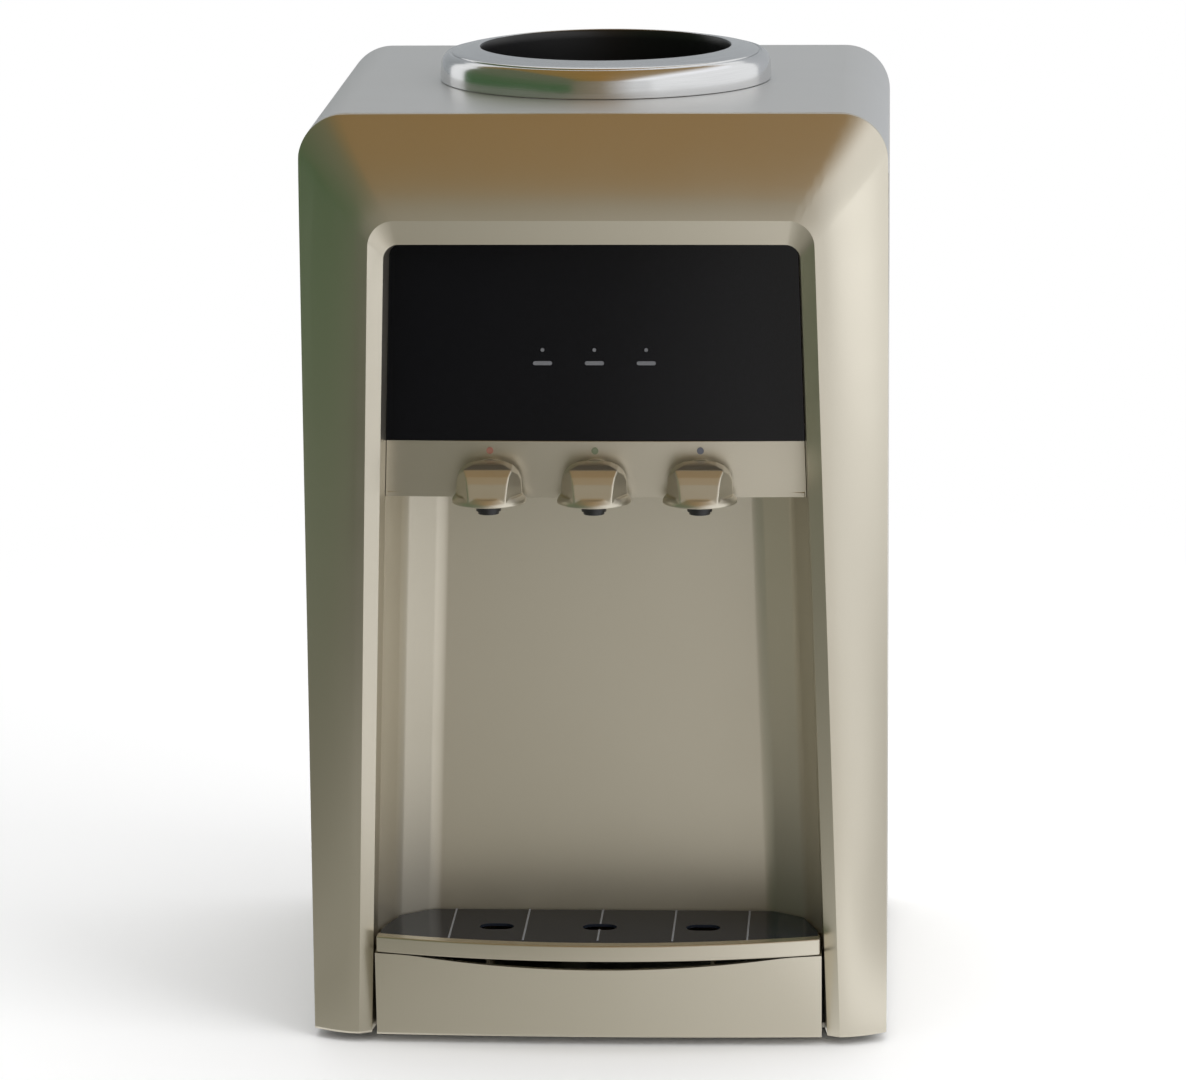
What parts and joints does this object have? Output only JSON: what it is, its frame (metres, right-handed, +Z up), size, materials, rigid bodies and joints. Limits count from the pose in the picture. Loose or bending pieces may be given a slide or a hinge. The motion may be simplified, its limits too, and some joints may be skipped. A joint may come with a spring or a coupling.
{
  "type": "tabletop water dispenser",
  "caption": "Tabletop water dispenser with a bottle collar on top, push-down taps under a dark fascia, a cup niche, and a pull-out drip tray with a lift-off grille.",
  "frame": {"origin": "middle of the overall box, on the surface that the feet stand on", "axes": "+Z up, the taps face -Y, +X to the right as seen from behind the cabinet's front"},
  "size_m": [0.305, 0.31, 0.515],
  "materials": {
    "champagne_shell": "pearl champagne, moulded",
    "silver_cover": "pearl silver, moulded",
    "cabinet_sheet": "satin silver paint",
    "fascia_black": "piano black",
    "bright_ring": "bright plated plastic",
    "lever_gold": "champagne, metallic",
    "tap_dark": "dark plastic",
    "marker": "printed dot",
    "lamp_lens": "translucent white",
    "plain_steel": "stainless",
    "sink_aluminium": "extruded",
    "clear_plastic": "natural",
    "foam_white": "moulded foam",
    "rubber_black": "moulded",
    "board_green": "circuit board",
    "dark_plastic": "moulded",
    "rocker_red": "moulded",
    "rocker_green": "moulded",
    "hose_clear": "silicone hose",
    "ceramic_white": "ceramic"
  },
  "bodies": {
    "housing": {"base_pan": "cabinet_sheet", "rubber_feet": "rubber_black", "left_side_panel": "cabinet_sheet", "right_side_panel": "cabinet_sheet", "rear_panel": "cabinet_sheet", "top_cover": "silver_cover", "front_frame": "champagne_shell", "display_fascia": "fascia_black", "indicator_lenses": "lamp_lens", "indicator_board": "board_green", "tap_panel": "champagne_shell", "tap_markers": "marker", "niche_liner": "champagne_shell", "tray_shelf": "champagne_shell", "lower_front_panel": "champagne_shell", "bottle_collar": "bright_ring", "seat_gasket": "rubber_black", "hot_tap_body": "tap_dark", "ambient_tap_body": "tap_dark", "cold_tap_body": "tap_dark", "hot_spring": "plain_steel", "ambient_spring": "plain_steel", "cold_spring": "plain_steel", "lever_pins": "plain_steel", "tap_nuts": "clear_plastic", "mid_shelf": "plain_steel", "reservoir": "clear_plastic", "reservoir_lid": "clear_plastic", "reservoir_baffle": "clear_plastic", "reservoir_foam": "foam_white", "hot_tank": "plain_steel", "hot_tank_stand": "plain_steel", "heater_band": "dark_plastic", "thermostats": "dark_plastic", "hot_hose": "hose_clear", "ambient_hose": "hose_clear", "cold_hose": "hose_clear", "feed_hose": "hose_clear", "cold_block": "sink_aluminium", "thermoelectric_module": "ceramic_white", "heat_sink": "sink_aluminium", "fan_frame": "dark_plastic", "power_board": "board_green", "switch_housings": "dark_plastic", "cord_gland": "rubber_black", "panel_screws": "plain_steel"},
    "drip_tray": {"drip_tray": "champagne_shell"},
    "drip_grille": {"drip_grille": "fascia_black"},
    "bottle_seat": {"bottle_seat": "fascia_black", "feed_spike": "clear_plastic"},
    "hot_lever": {"hot_lever": "lever_gold"},
    "ambient_lever": {"ambient_lever": "lever_gold"},
    "cold_lever": {"cold_lever": "lever_gold"},
    "hot_stem": {"hot_stem": "plain_steel"},
    "ambient_stem": {"ambient_stem": "plain_steel"},
    "cold_stem": {"cold_stem": "plain_steel"},
    "hot_rocker": {"hot_rocker": "rocker_red"},
    "cold_rocker": {"cold_rocker": "rocker_green"},
    "fan_rotor": {"fan_rotor": "dark_plastic"},
    "drain_cap": {"drain_cap": "rubber_black"}
  },
  "joints": [
    {"name": "hot_press", "type": "hinge", "parent": "housing", "child": "hot_lever", "pos_m": [-0.055, -0.12868, 0.3086], "axis": [1, 0, 0], "range_deg": [0, 12], "stiffness_Nm_per_rad": 0.05, "springref_deg": -17.19},
    {"name": "hot_stem_slide", "type": "slide", "parent": "housing", "child": "hot_stem", "axis": [0, 0, -1], "range_m": [0, 0.0018], "deforming": ["hot_spring"]},
    {"name": "ambient_press", "type": "hinge", "parent": "housing", "child": "ambient_lever", "pos_m": [0, -0.1292, 0.3086], "axis": [1, 0, 0], "range_deg": [0, 12], "stiffness_Nm_per_rad": 0.05, "springref_deg": -17.19},
    {"name": "ambient_stem_slide", "type": "slide", "parent": "housing", "child": "ambient_stem", "axis": [0, 0, -1], "range_m": [0, 0.0018], "deforming": ["ambient_spring"]},
    {"name": "cold_press", "type": "hinge", "parent": "housing", "child": "cold_lever", "pos_m": [0.055, -0.12868, 0.3086], "axis": [1, 0, 0], "range_deg": [0, 12], "stiffness_Nm_per_rad": 0.05, "springref_deg": -17.19},
    {"name": "cold_stem_slide", "type": "slide", "parent": "housing", "child": "cold_stem", "axis": [0, 0, -1], "range_m": [0, 0.0018], "deforming": ["cold_spring"]},
    {"name": "tray_pull", "type": "slide", "parent": "housing", "child": "drip_tray", "axis": [0, -1, 0], "range_m": [0, 0.11]},
    {"name": "grille_lift", "type": "slide", "parent": "drip_tray", "child": "drip_grille", "axis": [0, 0, 1], "range_m": [0, 0.03]},
    {"name": "seat_lift", "type": "slide", "parent": "housing", "child": "bottle_seat", "axis": [0, 0, 1], "range_m": [0, 0.09]},
    {"name": "hot_switch", "type": "hinge", "parent": "housing", "child": "hot_rocker", "pos_m": [0.057, 0.13987, 0.068], "axis": [1, 0, 0], "range_deg": [0, 16]},
    {"name": "cold_switch", "type": "hinge", "parent": "housing", "child": "cold_rocker", "pos_m": [0.091, 0.13987, 0.068], "axis": [1, 0, 0], "range_deg": [0, 16]},
    {"name": "fan_spin", "type": "hinge", "parent": "housing", "child": "fan_rotor", "pos_m": [0, 0.132, 0.3445], "axis": [0, 1, 0], "continuous": true},
    {"name": "drain_cap_pull", "type": "slide", "parent": "housing", "child": "drain_cap", "axis": [0, 1, 0], "range_m": [0, 0.025]}
  ],
  "couplings": [
    {"joint": "hot_stem_slide", "follows": "hot_press", "m_per_rad": 0.008},
    {"joint": "ambient_stem_slide", "follows": "ambient_press", "m_per_rad": 0.008},
    {"joint": "cold_stem_slide", "follows": "cold_press", "m_per_rad": 0.008}
  ]
}
